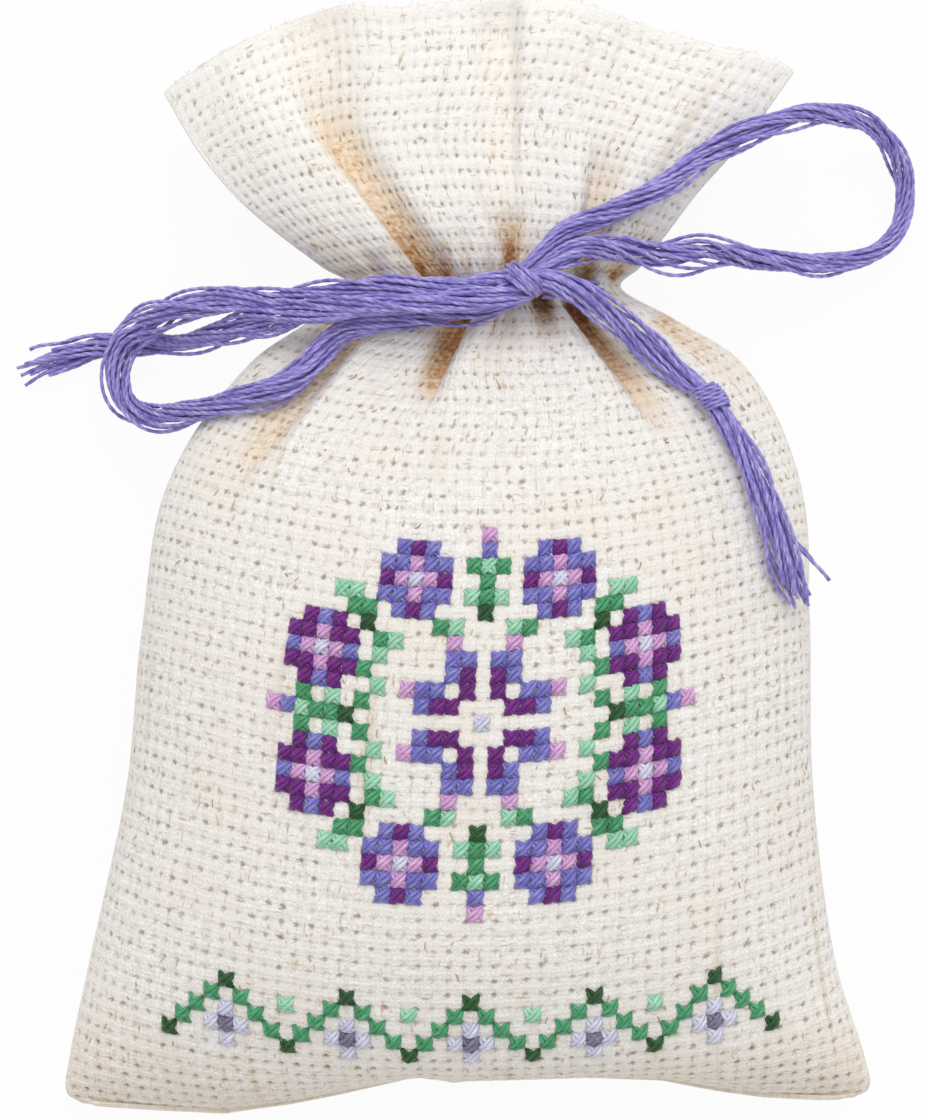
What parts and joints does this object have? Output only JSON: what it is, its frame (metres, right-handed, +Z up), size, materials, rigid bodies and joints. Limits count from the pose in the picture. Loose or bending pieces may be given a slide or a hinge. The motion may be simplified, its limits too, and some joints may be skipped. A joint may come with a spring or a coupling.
{
  "type": "lavender sachet",
  "caption": "Small cloth bag of dried lavender, lying on its back, gathered to a frill at the neck and tied with a floss bow.",
  "frame": {"origin": "middle of the bag's footprint, on the surface that it lies on", "axes": "+Z up out of the embroidered front, +Y towards the frilled mouth, +X to the right seen from above"},
  "size_m": [0.0852, 0.1021, 0.0266],
  "materials": {
    "cloth": "matte block weave of cream cotton and linen",
    "sewing_thread": "matte spun thread",
    "lavender": "dry matte buds",
    "floss": "soft sheen of stranded cotton"
  },
  "bodies": {
    "bag": {"front_panel": "cloth", "back_panel": "cloth", "left_seam_thread": "sewing_thread", "right_seam_thread": "sewing_thread", "bottom_seam_thread": "sewing_thread", "lavender_filling": "lavender", "neck_tie": "floss", "bow_knot": "floss"},
    "left_bow": {"left_loop": "floss", "left_tail": "floss", "left_fringe": "floss"},
    "right_bow": {"right_loop": "floss"},
    "right_end": {"right_tail": "floss", "right_end_knot": "floss", "right_fringe": "floss"}
  },
  "joints": [
    {"name": "left_bow_lift", "type": "hinge", "parent": "bag", "child": "left_bow", "pos_m": [0.0018, 0.0237, 0.0211], "axis": [0, 1, 0], "range_deg": [0, 60]},
    {"name": "right_bow_lift", "type": "hinge", "parent": "bag", "child": "right_bow", "pos_m": [0.00736, 0.0271, 0.0199], "axis": [0.2496, -0.9684, 0], "range_deg": [0, 60]},
    {"name": "right_end_lift", "type": "hinge", "parent": "bag", "child": "right_end", "pos_m": [0.00875, 0.0234, 0.0199], "axis": [-0.5593, -0.829, 0], "range_deg": [0, 60]}
  ]
}
